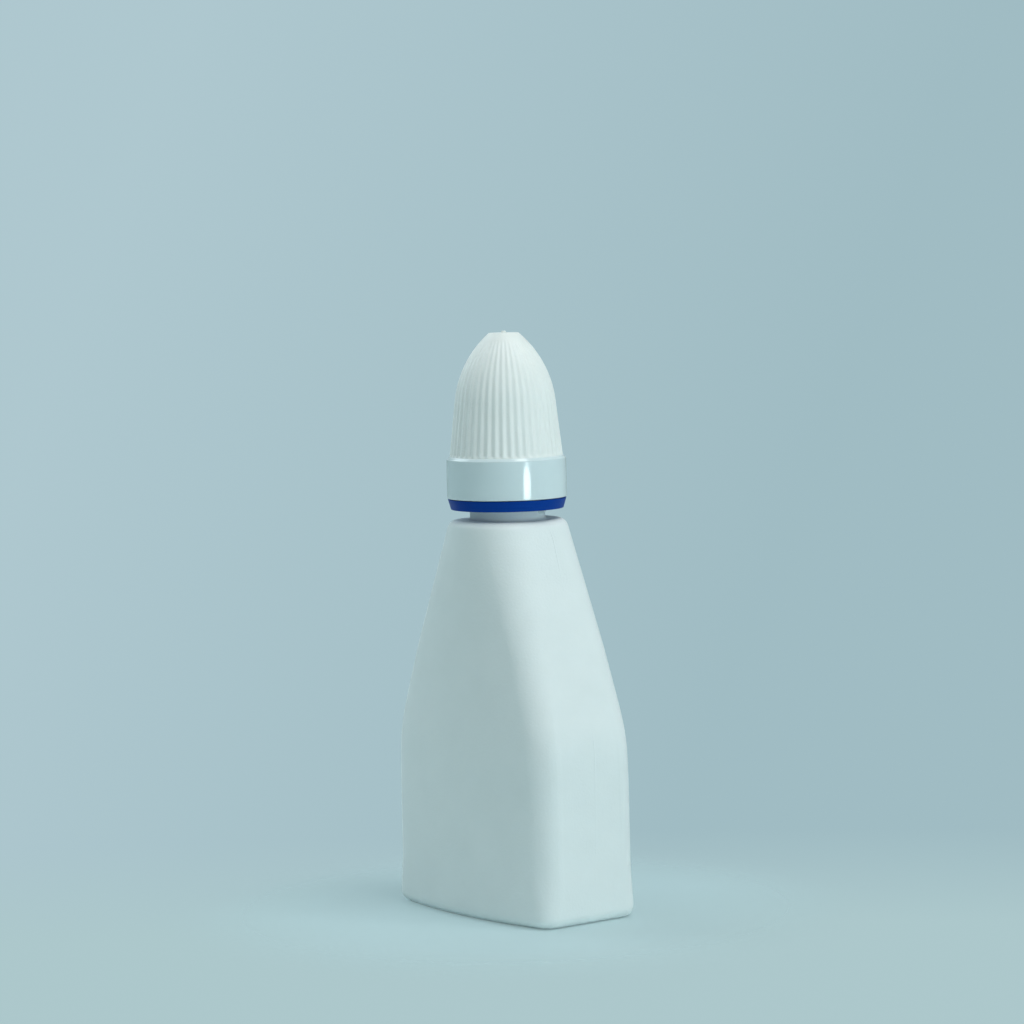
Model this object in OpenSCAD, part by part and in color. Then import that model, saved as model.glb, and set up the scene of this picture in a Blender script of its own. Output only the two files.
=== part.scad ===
// Eye drop bottle: a squeeze bottle with a press-in dropper, a screw cap
// that carries a soft seal, and a tamper ring that stays on the neck.
// The origin is the centre of the base, +X runs along the width, +Z is up.

/* [Body] */
// Width across the two narrow faces
body_w = 41; // [38:0.5:44]
// Depth between the corner lines of the two broad faces
body_d = 20; // [19:0.5:22]
// How far each broad face swells beyond its corner lines
face_swell = 2; // [1:0.1:2.6]
// Radius of the four upright corners below the waist
corner_r = 3.4; // [2.5:0.1:4.5]
// Height at which the straight lower part turns into the taper
waist_z = 29.9; // [26:0.1:34]
// Height of the flat shoulder
shoulder_z = 65; // [64:0.5:67]
// Width of the tapered part at the shoulder
shoulder_w = 17.4; // [16.4:0.2:19]
// Depth of the tapered part at the shoulder, between its corner lines
shoulder_d = 18.5; // [17.5:0.1:20]
// Corner radius at the shoulder, which is nearly round there
shoulder_corner_r = 7.5; // [6.4:0.1:8]
// Thickness of the blown wall
wall = 1; // [0.8:0.1:1.2]

/* [Neck] */
// Radius of the neck where it shows under the tamper ring
neck_root_r = 6.2; // [6:0.1:6.4]
// Radius of the neck's thread cylinder
neck_r = 7; // [6.9:0.05:7.2]
// Radius of the bore that takes the dropper
neck_bore_r = 5.2; // [5:0.1:5.4]
// Height of the neck above the shoulder
neck_h = 11.5; // [11:0.25:12]

/* [Dropper] */
// Height of the nozzle above the neck's lip
nozzle_h = 12.5; // [12:0.1:13]
// Radius of the drop orifice
orifice_r = 0.45; // [0.3:0.05:0.5]

/* [Tamper ring] */
// Gap between the shoulder and the ring as it is fitted
ring_rise = 1.75; // [1.7:0.05:2]
// Height of the ring
ring_h = 1.7; // [1.6:0.05:1.9]
// Radius of the ring's upper edge, just short of the cap's skirt
ring_top_r = 9.8; // [9.6:0.1:9.9]
// Radius of the ring's lower edge
ring_bottom_r = 9.3; // [9.1:0.1:9.5]

/* [Cap] */
// Height of the whole object, to the top of the cap's moulding nub
total_h = 96; // [96:0.2:97]
// Radius of the smooth skirt
skirt_r = 9.9; // [9.8:0.05:10.2]
// Height of the smooth skirt
skirt_h = 6.6; // [6:0.1:7]
// Radius of the fluted dome just above the rim
dome_r = 9.35; // [9.2:0.05:9.4]
// Number of flutes round the dome
flutes = 44; // [36:1:46]
// Radius of the round cutter that leaves each flute
flute_r = 0.42; // [0.36:0.01:0.45]
// Depth of each flute at its lower end
flute_depth = 0.28; // [0.2:0.01:0.32]

/* [Hidden] */
$fn = 96;

// Moulding allowances shared by all the pieces
edge = 0.3;
running = 0.05;
overlap = 0.5;

// Body
base_edge_r = 1.8;
contact_w = 2.4;
push_up = 0.9;
least_corner_r = 1.6;
pinch_l = 26;
pinch_w = 0.6;
pinch_h = 0.35;
floor_t = 1.6;
shoulder_edge_r = 1.2;
shoulder_t = 1.3;
waist_soft = 6.5;
shoulder_swell = 0.4;
corner_steps = 6;
face_steps = 5;
edge_steps = 4;

// Neck
lip_z = shoulder_z + neck_h;
neck_fillet = 0.4;
bead_h = 0.95;
bead_rise = 0.35;
bead_under = 0.4;
bead_r = neck_r + 0.8;
lug_r = neck_root_r + 1;
lug_w = 1.4;
lug_ramp = 2.1;
lug_h = 1.8;
lug_gap = 1;
lug_turn = 22;

// Tamper ring
ring_z = shoulder_z + ring_rise;
ring_top_z = ring_z + ring_h;
ring_wall = 1;
ring_lip_r = lug_r + edge;
ring_lip_h = 0.7;
ring_teeth = 8;
tooth_foot_w = 1.8;
tooth_tip_w = 0.8;
bridges = 10;
bridge_gap = 0.15;
bridge_r = 0.35;
bead_z = ring_top_z + bead_rise;

// Dropper
flange_r = neck_r - edge;
flange_h = 1.1;
plug_depth = 8;
plug_wall = 1.05;
plug_rib = 0.05;
plug_rib_half = 0.4;
plug_rib_z = [2.4, 4.8];
nozzle_foot_r = 4.4;
nozzle_r = 2.5;
tip_r = 1.9;
tip_edge_r = 0.7;
tip_z = lip_z + nozzle_h;
channel_r = 1;
channel_flare_z = lip_z - 1.5;
dish_depth = 0.45;
dish_r = 1.1;
tip_angle = 80;
fillet_steps = 6;

// Cap
skirt_z = ring_top_z + bridge_gap;
rim_z = skirt_z + skirt_h;
skirt_draft = 0.06;
skirt_edge = 0.15;
rim_bevel = 0.42;
dome_z = rim_z + edge;
dome_draft = 6.4;
dome_wall_h = 9.05;
dome_arc_z = dome_z + dome_wall_h;
dome_arc_r = 17.25;
nub_r = 0.4;
nub_h = 0.3;
crown_z = total_h - nub_h;
cap_wall = 1.2;
cap_bore_r = bead_r + edge;
bore_over_lip = 0.8;
bore_top_z = lip_z + bore_over_lip;
crown_t = 1.7;
dome_steps = 12;
flute_fade = 1.64;
flute_sweep = 42;
socket_r = 3.25;
socket_wall = 1;
socket_past_tip = 0.7;
socket_z = tip_z - socket_past_tip;
rib_over_tip = 1.3;
rib_z = tip_z + rib_over_tip;
rib_h = 0.8;
rib_in = 0.3;

// Seal
seal_r = socket_r - running;
seal_stands_out = 0.4;
seal_z = socket_z - seal_stands_out;
seal_top_z = crown_z - crown_t - running;
seal_gap = 0.08;
cup_flare = 0.1;
pin_r = orifice_r - 0.1;
pin_tip_r = 0.7 * pin_r;
pin_h = 0.9;

// Points of an arc round c, from angle a0 to angle a1
function arc(c, r, a0, a1, steps) =
    [for (i = [0:steps]) let (a = a0 + (a1 - a0) * i / steps) c + r * [cos(a), sin(a)]];

function reversed(list) = [for (i = [len(list) - 1:-1:0]) list[i]];

// How far the taper has gone at height z: 0 at the base, 1 at the shoulder,
// with a soft bend at the waist
function soft(t) = (t + sqrt(t * t + waist_soft * waist_soft / 4)) / 2;
function taper(z) = (soft(z - waist_z) - soft(-waist_z)) / (soft(shoulder_z - waist_z) - soft(-waist_z));
function blend(low, high, z) = low + (high - low) * taper(z);

// One quarter of the body's outline: a corner arc that runs on into half of the swollen broad face
function quarter(half_w, half_d, r, swell) =
    let (
        flat_w = half_w - r,
        swell_r = (flat_w * flat_w + swell * swell) / (2 * swell),
        swell_angle = asin(flat_w / swell_r),
        face_centre = [0, half_d - r + swell - swell_r]
    )
    concat(
        arc([flat_w, half_d - r], r, 0, 90 - swell_angle, corner_steps),
        [for (i = [1:face_steps])
            let (a = swell_angle * (1 - i / face_steps))
            face_centre + (swell_r + r) * [sin(a), cos(a)]]
    );

// The body's outline at height z, drawn in by inset
function outline(z, inset) =
    let (
        q = quarter(
            blend(body_w, shoulder_w, z) / 2 - inset,
            blend(body_d, shoulder_d, z) / 2 - inset,
            max(least_corner_r, blend(corner_r, shoulder_corner_r, z) - inset),
            blend(face_swell, shoulder_swell, z)
        ),
        n = len(q),
        left = [for (i = [n - 2:-1:0]) [-q[i].x, q[i].y]],
        back = concat(q, left)
    )
    concat(back, [for (p = back) -p]);

// Each station of a loft is [height, inset]
function rounded_foot(z, inset, r) =
    [for (i = [0:edge_steps]) let (a = 90 * i / edge_steps) [z + r - r * cos(a), inset + r - r * sin(a)]];
function rounded_top(z, inset, r) =
    [for (i = [0:edge_steps]) let (a = 90 * i / edge_steps) [z - r + r * sin(a), inset + r - r * cos(a)]];
function climb(from, to, step, inset) = [for (z = [from:step:to]) [z, inset]];

module loft(stations) {
    rings = [for (s = stations) [for (p = outline(s[0], s[1])) [p.x, p.y, s[0]]]];
    sides = len(rings[0]);
    last = len(rings) - 1;
    points = [for (ring = rings) each ring];
    bottom = [for (i = [0:sides - 1]) i];
    top = [for (i = [sides - 1:-1:0]) last * sides + i];
    walls = [
        for (k = [0:last - 1]) for (i = [0:sides - 1])
        let (a = k * sides + i, b = k * sides + (i + 1) % sides)
        each [[a, a + sides, b], [b, a + sides, b + sides]]
    ];
    polyhedron(points, concat([bottom, top], walls));
}

module blown_body() {
    foot = rounded_foot(0, 0, base_edge_r);
    recess = base_edge_r + contact_w;
    loft(concat(
        [[push_up, recess + 2 * push_up], [0, recess]],
        foot,
        climb(waist_z - 8, shoulder_z - 8, 3, 0),
        rounded_top(shoulder_z, 0, shoulder_edge_r)
    ));
}

module body_hollow() {
    loft(concat(
        rounded_foot(push_up + floor_t, wall, base_edge_r),
        climb(waist_z - 8, shoulder_z - 8, 3, wall),
        rounded_top(shoulder_z - shoulder_t, wall, shoulder_edge_r)
    ));
}

// The weld line that pinching off the blown tube leaves across the base
module pinch_line() {
    translate([-pinch_l / 2, -pinch_w / 2, push_up - pinch_h])
        cube([pinch_l, pinch_w, 2 * pinch_h]);
}

// A ratchet lug, steep on the side that holds the ring
module neck_lug() {
    translate([0, 0, shoulder_z + lug_gap])
        linear_extrude(height = lug_h)
            polygon([
                [neck_root_r - overlap, -lug_w / 2],
                [lug_r, -lug_w / 2],
                [lug_r, 0],
                [neck_root_r - overlap, lug_ramp]
            ]);
}

module neck_finish() {
    fillet_r = neck_root_r + neck_fillet;
    rotate_extrude()
        polygon(concat(
            [
                [0, shoulder_z - shoulder_t],
                [fillet_r, shoulder_z - shoulder_t]
            ],
            arc([fillet_r, shoulder_z + neck_fillet], neck_fillet, 270, 180, fillet_steps),
            [
                [neck_root_r, bead_z - bead_under],
                [bead_r, bead_z],
                [bead_r, bead_z + bead_h / 2],
                [neck_r, bead_z + bead_h],
                [neck_r, lip_z - edge],
                [neck_r - edge, lip_z],
                [0, lip_z]
            ]
        ));
}

module bottle() {
    color("#dfe9ea")
    difference() {
        union() {
            blown_body();
            pinch_line();
            neck_finish();
            for (side = [0, 180])
                rotate([0, 0, lug_turn + side])
                    neck_lug();
        }
        body_hollow();
        translate([0, 0, shoulder_z - 2 * shoulder_t])
            cylinder(h = neck_h + 3 * shoulder_t, r = neck_bore_r);
    }
}

// A snap rib round the dropper's plug, centred rib_above over the plug's foot
function plug_ring(plug_z, plug_r, rib_above) = [
    [plug_r, plug_z + rib_above - plug_rib_half],
    [neck_bore_r + plug_rib, plug_z + rib_above],
    [plug_r, plug_z + rib_above + plug_rib_half]
];

module dropper() {
    plug_z = lip_z - plug_depth;
    plug_r = neck_bore_r - running;
    plug_bore_r = plug_r - plug_wall;
    flange_z = lip_z + flange_h;
    foot_fillet = nozzle_foot_r - nozzle_r;
    color("#eef3f2")
    rotate_extrude()
        polygon(concat(
            [
                [plug_bore_r, plug_z],
                [plug_r - edge, plug_z],
                [plug_r, plug_z + 2 * edge]
            ],
            [for (rib_above = plug_rib_z) each plug_ring(plug_z, plug_r, rib_above)],
            [
                [plug_r, lip_z],
                [flange_r, lip_z]
            ],
            arc([flange_r - edge, flange_z - edge], edge, 0, 90, fillet_steps),
            arc([nozzle_foot_r, flange_z + foot_fillet], foot_fillet, 270, 180, fillet_steps),
            arc([tip_r - tip_edge_r, tip_z - tip_edge_r], tip_edge_r, 0, tip_angle, fillet_steps),
            [
                [dish_r, tip_z],
                [orifice_r, tip_z - dish_depth],
                [orifice_r, tip_z - 3 * dish_depth],
                [channel_r, tip_z - 4 * dish_depth],
                [channel_r, flange_z + foot_fillet],
                [plug_bore_r, channel_flare_z]
            ]
        ));
}

// One inward tooth of the ring, which a neck lug catches when the cap first turns
module ring_tooth() {
    foot_r = ring_bottom_r - ring_wall / 2;
    point_r = lug_r - edge;
    translate([0, 0, ring_z + edge])
        linear_extrude(height = ring_h - 2 * edge)
            polygon([
                [foot_r, -tooth_foot_w / 2],
                [point_r, -tooth_tip_w / 2],
                [point_r, tooth_tip_w / 2],
                [foot_r, tooth_foot_w / 2]
            ]);
}

module tamper_ring() {
    inner_r = ring_bottom_r - ring_wall;
    color("#123f8f") {
        rotate_extrude()
            polygon([
                [inner_r, ring_z],
                [ring_bottom_r, ring_z],
                [ring_top_r, ring_top_z],
                [ring_lip_r, ring_top_z],
                [ring_lip_r, ring_top_z - ring_lip_h],
                [inner_r, ring_top_z - ring_lip_h]
            ]);
        for (i = [0:ring_teeth - 1])
            rotate([0, 0, lug_turn + 360 * (i + 0.5) / ring_teeth])
                ring_tooth();
        // Stubs of the snapped bridges
        for (i = [0:bridges - 1])
            rotate([0, 0, 360 * i / bridges])
                translate([ring_top_r - 1, 0, ring_top_z - overlap])
                    cylinder(h = overlap + bridge_gap - running, r = bridge_r, $fn = 24);
    }
}

module cap_seal() {
    cup_r = tip_r + seal_gap;
    cup_top_z = tip_z + seal_gap;
    groove_r = socket_r - rib_in - running;
    color("#f3f4ef")
    rotate_extrude()
        polygon(concat(
            [
                [0, cup_top_z - pin_h],
                [pin_tip_r, cup_top_z - pin_h],
                [pin_r, cup_top_z - pin_h / 2],
                [pin_r, cup_top_z]
            ],
            reversed(arc([tip_r - tip_edge_r, tip_z - tip_edge_r], tip_edge_r + seal_gap, 0, tip_angle, fillet_steps)),
            [
                [cup_r + cup_flare, seal_z + edge],
                [cup_r + edge, seal_z],
                [seal_r - edge, seal_z],
                [seal_r, seal_z + edge],
                [seal_r, rib_z - running],
                [groove_r, rib_z + rib_in - running],
                [groove_r, rib_z + rib_h - rib_in + running],
                [seal_r, rib_z + rib_h + running],
                [seal_r, seal_top_z],
                [0, seal_top_z]
            ]
        ));
}

// Centre of the arc that closes the dome, tangent to its drafted wall
dome_out = [cos(dome_draft), sin(dome_draft)];
dome_foot = [dome_r, dome_z];
dome_arc_start = dome_foot + (dome_arc_z - dome_z) * [-tan(dome_draft), 1];
dome_centre = dome_arc_start - dome_arc_r * dome_out;

// The dome's outline up to height z, drawn in by inset along its own normal
function dome_side(z, inset) =
    arc(dome_centre, dome_arc_r - inset, dome_draft, asin((z - dome_centre.y) / (dome_arc_r - inset)), dome_steps);

// One flute: a round cutter that climbs the drafted wall and leaves the dome where its wider arc parts from it
module flute() {
    stand_off = flute_r - flute_depth;
    foot = dome_foot + stand_off * dome_out;
    bend = dome_arc_start + stand_off * dome_out;
    path_r = dome_arc_r + stand_off + flute_fade;
    path_centre = bend - path_r * dome_out;
    translate([foot.x, 0, foot.y])
        rotate([0, -dome_draft, 0])
            cylinder(h = norm(bend - foot), r = flute_r, $fn = 24);
    translate([path_centre.x, 0, path_centre.y])
        rotate([90, -dome_draft, 0])
            rotate_extrude(angle = flute_sweep, $fn = 180)
                translate([path_r, 0])
                    circle(r = flute_r, $fn = 24);
}

module cap_blank() {
    rotate_extrude()
        polygon(concat(
            [
                [0, skirt_z],
                [skirt_r - skirt_edge, skirt_z],
                [skirt_r, skirt_z + skirt_edge],
                [skirt_r - skirt_draft, rim_z - rim_bevel / 2],
                [skirt_r - skirt_draft - rim_bevel, rim_z + rim_bevel / 2],
                [dome_r, dome_z]
            ],
            dome_side(crown_z, 0),
            [[0, crown_z]]
        ));
    translate([0, 0, crown_z - overlap])
        cylinder(h = nub_h + overlap, r = nub_r, $fn = 24);
}

module cap_hollow() {
    socket_out_r = socket_r + socket_wall;
    inner_arc_r = dome_arc_r - cap_wall;
    pocket_z = dome_centre.y + sqrt(pow(inner_arc_r, 2) - pow(socket_out_r - dome_centre.x, 2));
    rotate_extrude()
        polygon(concat(
            [
                [0, skirt_z - overlap],
                [cap_bore_r + edge, skirt_z - overlap],
                [cap_bore_r + edge, skirt_z],
                [cap_bore_r, skirt_z + edge],
                [cap_bore_r, bore_top_z]
            ],
            dome_side(pocket_z, cap_wall),
            [
                [socket_out_r, socket_z],
                [socket_r, socket_z],
                [socket_r, rib_z],
                [socket_r - rib_in, rib_z + rib_in],
                [socket_r - rib_in, rib_z + rib_h - rib_in],
                [socket_r, rib_z + rib_h],
                [socket_r, crown_z - crown_t],
                [0, crown_z - crown_t]
            ]
        ));
}

module cap() {
    color("#f2f7f4")
    difference() {
        cap_blank();
        cap_hollow();
        for (i = [0:flutes - 1])
            rotate([0, 0, 360 * (i + 0.5) / flutes])
                flute();
    }
}

bottle();
dropper();
tamper_ring();
cap_seal();
cap();
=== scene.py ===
import math

import bpy
import numpy as np
from mathutils import Matrix, Vector


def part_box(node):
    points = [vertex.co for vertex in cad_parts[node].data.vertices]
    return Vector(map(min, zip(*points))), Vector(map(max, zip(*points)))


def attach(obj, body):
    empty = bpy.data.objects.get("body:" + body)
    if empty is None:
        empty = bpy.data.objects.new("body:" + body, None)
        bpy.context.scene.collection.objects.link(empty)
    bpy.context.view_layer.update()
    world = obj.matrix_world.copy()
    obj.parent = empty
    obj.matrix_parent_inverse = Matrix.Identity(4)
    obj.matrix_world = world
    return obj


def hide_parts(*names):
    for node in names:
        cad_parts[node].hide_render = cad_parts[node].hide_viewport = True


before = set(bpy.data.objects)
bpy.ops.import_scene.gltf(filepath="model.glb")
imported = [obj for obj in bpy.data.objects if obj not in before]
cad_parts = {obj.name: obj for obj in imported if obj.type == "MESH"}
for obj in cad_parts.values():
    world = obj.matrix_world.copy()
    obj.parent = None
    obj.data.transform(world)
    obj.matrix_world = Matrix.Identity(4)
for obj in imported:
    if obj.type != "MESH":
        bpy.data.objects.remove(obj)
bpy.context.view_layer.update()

MM = 0.001


def corners(node):
    """Lowest and highest corner of a CAD node, in millimetres."""
    low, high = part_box(node)
    return np.array(low) / MM, np.array(high) / MM


bottle_low, bottle_high = corners("bottle")
dropper_low, dropper_high = corners("dropper")
ring_low, ring_high = corners("tamper_ring")
seal_low, seal_high = corners("cap_seal")
cap_low, cap_high = corners("cap")

# Lengths are in millimetres until a mesh, lamp or camera is made. Angles are in degrees, or in radians where
# math.radians is written. A pair of heights says where a mark has not begun yet and where it is full.

# Sizes of the mould line
LINE_H = 0.05
LINE_HALF = 0.12
LINE_Y = 0.45
LINE_LEAN = 0.022
LINE_REACH = 1.5
LINE_LEAST = 0.12
LINE_FAINT = 0.35
LINE_FAINT_Z = 22
LOW_LINE_STARTS = (9, 13)
LOW_LINE_ENDS = (31.5, 30)
HIGH_LINE_STARTS = (57, 57.6)
HIGH_LINE_ENDS = (63.6, 63)

# Sizes of the crease along the narrow faces' edges
CREASE_TURN = math.radians(15)
CREASE_SOFT = 0.16
CREASE_H = 0.022
CREASE_HALF = 0.4
CREASE_IN = 0.55
CREASE_STARTS = (2, 8)
CREASE_ENDS = (44, 30)

# Sizes of the blown body
BODY_W = bottle_high[0] - bottle_low[0] - 2 * LINE_H
BODY_D = 20.4
FACE_SWELL = bottle_high[1] - BODY_D / 2
CORNER_R = 3.4
LEAST_CORNER_R = 1.6
WAIST_Z = 29.9
WAIST_SOFT = 6.5
SHOULDER_Z = 65
SHOULDER_W = 17.4
SHOULDER_D = 18.5
SHOULDER_CORNER_R = 7.5
SHOULDER_SWELL = 0.4
SHOULDER_EDGE_R = 1.2
SHOULDER_T = 1.3
BASE_EDGE_R = 1.8
BASE_T = 1.6
CONTACT_W = 2.4
PUSH_UP = 0.9
WALL = 1
HOLLOW_MIDDLE = 4.2
WELD_L = 26
WELD_HALF = 0.3
WELD_H = 0.35
WELD_ROOT = 0.1
WELD_RIPPLE = 0.12
WELD_STEPS = 40
WELD_SIDES = 8

# Numbers of points along the body's outline and round the turned pieces
LINE_STEPS = 12
CORNER_STEPS = 44
FLAT_STEPS = 46
BACK_STEPS = 68
ROUND_SIDES = 360

# Sizes of the neck
NECK_ROOT_R = 6.2
NECK_R = 7
NECK_BORE_R = 5.2
NECK_FILLET = 0.4
LIP_Z = bottle_high[2]
LIP_END_Z = LIP_Z - 1
BORE_START_Z = LIP_Z - 1.2
BEAD_R = NECK_R + 0.8
BEAD_H = 0.95
BEAD_SLOPE = 0.4
LUG_R = NECK_ROOT_R + 1
LUG_H = 1.8
LUG_GAP = 1
LUG_EDGE = 0.12
LUG_TURN = 22
LUG_STEEP = -5.6
LUG_STEEP_W = 1.2
LUG_FOOT = 20

# Threads of the neck and the cap, which share one helix
THREAD_PITCH = 3
THREAD_H = 0.62
THREAD_HALF = 0.62
THREAD_CREST_HALF = 0.45 * THREAD_HALF
THREAD_TURNS = 1.6
THREAD_RUN_IN = 0.08
THREAD_Z = 71.2

# Sizes of the tamper ring
BRIDGE_PROUD = 0.06
RING_Z = ring_low[2]
RING_TOP_Z = ring_high[2] - BRIDGE_PROUD
RING_TOP_R = ring_high[0]
RING_BOTTOM_R = 9.3
RING_WALL = 1
RING_LIP_R = LUG_R + 0.3
RING_LIP_Z = RING_TOP_Z - 0.7
RING_TEETH = 8
TOOTH_R = LUG_R - 0.3
TOOTH_HALF = 0.115
TOOTH_CREST_HALF = 0.065
TOOTH_STARTS = (RING_Z + 0.15, RING_Z + 0.3)
TOOTH_ENDS = (RING_LIP_Z + 0.2, RING_LIP_Z + 0.15)
BRIDGES = 10
BRIDGE_R = 0.35
BRIDGE_IN = 1
BRIDGE_TEAR = 0.03
BRIDGE_SIDES = 16
BEAD_Z = RING_TOP_Z + 0.35

# Sizes of the dropper
TIP_Z = dropper_high[2]
PLUG_Z = dropper_low[2]
FLANGE_R = dropper_high[0]
FLANGE_H = 1.1
PLUG_R = NECK_BORE_R - 0.05
PLUG_WALL = 1.05
PLUG_LEAD_IN = 0.3
PLUG_LEAD_H = 0.6
PLUG_RIBS = 2
PLUG_RIB_PITCH = 2.4
PLUG_RIB_HALF = 0.4
PLUG_RIB_H = 0.08
NOZZLE_FOOT_R = 4.4
NOZZLE_R = 2.5
TIP_R = 1.9
TIP_EDGE_R = 0.7
TIP_ANGLE = math.radians(80)
ORIFICE_R = 0.45
CHANNEL_R = 1
DISH_R = 1.1
DISH_DEPTH = 0.45

# Sizes of the cap
TOTAL_H = cap_high[2]
SKIRT_Z = cap_low[2]
SKIRT_R = cap_high[0]
SKIRT_DRAFT = 0.05
SKIRT_CROWN_R = 75
RIM_Z = SKIRT_Z + 6.6
RIM_BEVEL = 0.42
DOME_R = 9.35
DOME_Z = RIM_Z + 0.3
DOME_DRAFT = math.radians(6.4)
DOME_ARC_Z = DOME_Z + 9.05
DOME_ARC_R = 17.25
NUB_R = 0.4
NUB_H = 0.3
CROWN_Z = TOTAL_H - NUB_H
CROWN_T = 1.7
CAP_WALL = 1.2
CAP_BORE_R = BEAD_R + 0.3
BORE_TOP_Z = LIP_Z + 0.8
CAP_THREAD_STARTS = (SKIRT_Z + 0.6, SKIRT_Z + 0.9)
CAP_THREAD_ENDS = (BORE_TOP_Z - 0.2, BORE_TOP_Z - 0.5)
SOCKET_R = 3.25
SOCKET_WALL = 1
SOCKET_Z = TIP_Z - 0.7
SOCKET_RIB_Z = TIP_Z + 1.3
SOCKET_RIB_H = 0.8
SOCKET_RIB_IN = 0.3
FLUTES = 44
FLUTE_STEPS = 16
FLUTE_DEPTH = 0.208
FLUTE_TOP_Z = DOME_Z + 19
FLUTE_FADE = 0.6
FLUTE_END = 0.06
SCOOP_Z = DOME_Z + 0.04
SCOOP_H = 0.5

# Sizes of the seal
SEAL_R = seal_high[0]
SEAL_Z = seal_low[2]
SEAL_TOP_Z = seal_high[2]
SEAL_GAP = 0.08
SEAL_PLAY = 0.05
PIN_R = 0.35
PIN_H = 0.9

# Radius of the last ring of a skin that closes on its axis, so that the fan over it is very small
END_R = 0.02
NUB_END_R = 0.03

# Edges that turn by more than this stay sharp, and all others are shaded smooth
SHARP_ANGLE = math.radians(50)


def unit(v):
    """The vector v, made one long."""
    return v / np.linalg.norm(v)


def share(value, start, end):
    """How far value has come from start to end, held between 0 and 1."""
    return np.clip((value - start) / (end - start), 0, 1)


def rounded(corner_list, steps=5):
    """A profile of points (r, z) through corners (r, z, radius), each rounded by an arc of its radius."""
    corner_list = [np.array(c, float) for c in corner_list]
    out = [corner_list[0][:2]]
    for before, corner, after in zip(corner_list, corner_list[1:], corner_list[2:]):
        here, radius = corner[:2], corner[2]
        if radius == 0:
            out.append(here)
            continue
        back, ahead = unit(before[:2] - here), unit(after[:2] - here)
        half = math.acos(np.clip(back @ ahead, -1, 1)) / 2
        nearly_straight = half > math.pi / 2 - 0.001
        if nearly_straight:
            out.append(here)
            continue
        centre = here + unit(back + ahead) * radius / math.sin(half)
        first = here + back * radius / math.tan(half) - centre
        last = here + ahead * radius / math.tan(half) - centre
        sweep = math.pi - 2 * half
        for i in range(steps + 1):
            t = i / steps
            turned_to = math.sin((1 - t) * sweep) * first + math.sin(t * sweep) * last
            out.append(centre + turned_to / math.sin(sweep))
    out.append(corner_list[-1][:2])
    return np.array(out)


def divided(profile, longest):
    """The same profile with no step longer than longest."""
    out = [profile[0]]
    for start, end in zip(profile, profile[1:]):
        count = max(1, math.ceil(np.linalg.norm(end - start) / longest))
        out.extend(start + (end - start) * (i + 1) / count for i in range(count))
    return np.array(out)


def arc_points(centre, radius, start, end, steps):
    """Points (r, z) along an arc, between two angles in radians."""
    angles = np.linspace(start, end, steps + 1)
    return np.stack([centre[0] + radius * np.cos(angles), centre[1] + radius * np.sin(angles)], axis=1)


def around_z(sides):
    """Even angles once round, in radians."""
    return np.linspace(0, 2 * math.pi, sides, endpoint=False)


def turned(profile, angles, radial=None):
    """Rings round Z through the profile's points; radial(r, z, angle) is added to each radius."""
    profile = np.asarray(profile, float)
    r = profile[:, :1] + 0 * angles
    z = profile[:, 1:2] + 0 * angles
    if radial is not None:
        r = r + radial(r, z, angles + 0 * r)
    return np.stack([r * np.cos(angles), r * np.sin(angles), z], axis=-1)


def piece(name, rings, body, node, material, loop=False, extra=()):
    """One smooth closed skin through a stack of rings, riding on a body in place of a CAD node.
    A loop's last ring joins its first; otherwise a fan closes each end. extra holds more (points, faces)."""
    levels, sides, _ = rings.shape
    points = rings.reshape(-1, 3)
    side = np.arange(sides)
    nearer = (side + 1) % sides
    lower = np.arange(levels if loop else levels - 1)[:, None] * sides
    upper = (lower + sides) % (levels * sides)
    quads = np.stack([lower + side, lower + nearer, upper + nearer, upper + side], axis=-1)
    faces = quads.reshape(-1, 4).tolist()
    if not loop:
        points = np.concatenate([points, rings[[0, -1]].mean(axis=1)])
        first_pole = levels * sides
        top = (levels - 1) * sides
        faces += [[first_pole, b, a] for a, b in zip(side.tolist(), nearer.tolist())]
        faces += [[first_pole + 1, top + a, top + b] for a, b in zip(side.tolist(), nearer.tolist())]
    for more_points, more_faces in extra:
        start = len(points)
        points = np.concatenate([points, more_points])
        faces += [[start + i for i in face] for face in more_faces]
    mesh = bpy.data.meshes.new(name)
    mesh.from_pydata((points * MM).tolist(), [], faces)
    mesh.validate()
    mesh.polygons.foreach_set("use_smooth", [True] * len(mesh.polygons))
    mesh.set_sharp_from_angle(angle=SHARP_ANGLE)
    mesh.materials.append(material)
    made = bpy.data.objects.new(name, mesh)
    bpy.context.scene.collection.objects.link(made)
    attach(made, body)
    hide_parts(node)
    return made


# The blown body

def soft(t):
    """t where it is positive and 0 where it is negative, with a soft bend between them."""
    return (t + math.sqrt(t * t + WAIST_SOFT * WAIST_SOFT / 4)) / 2


def blend(low, high, z):
    """A size at height z: low at the base, high at the shoulder, with a soft bend at the waist."""
    taper = (soft(z - WAIST_Z) - soft(-WAIST_Z)) / (soft(SHOULDER_Z - WAIST_Z) - soft(-WAIST_Z))
    return low + (high - low) * taper


def side_stations(flat_d, reach, line):
    """Distances along a narrow face and its two corner arcs, close together at the mould line."""
    near = line + LINE_HALF * np.linspace(-LINE_REACH, LINE_REACH, LINE_STEPS + 1)
    return np.concatenate([
        np.linspace(-reach, -flat_d - CREASE_SOFT, CORNER_STEPS),
        np.linspace(-flat_d + CREASE_SOFT, near[0], FLAT_STEPS)[:-1],
        near,
        np.linspace(near[-1], flat_d - CREASE_SOFT, FLAT_STEPS)[1:],
        np.linspace(flat_d + CREASE_SOFT, reach, CORNER_STEPS)
    ])


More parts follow.
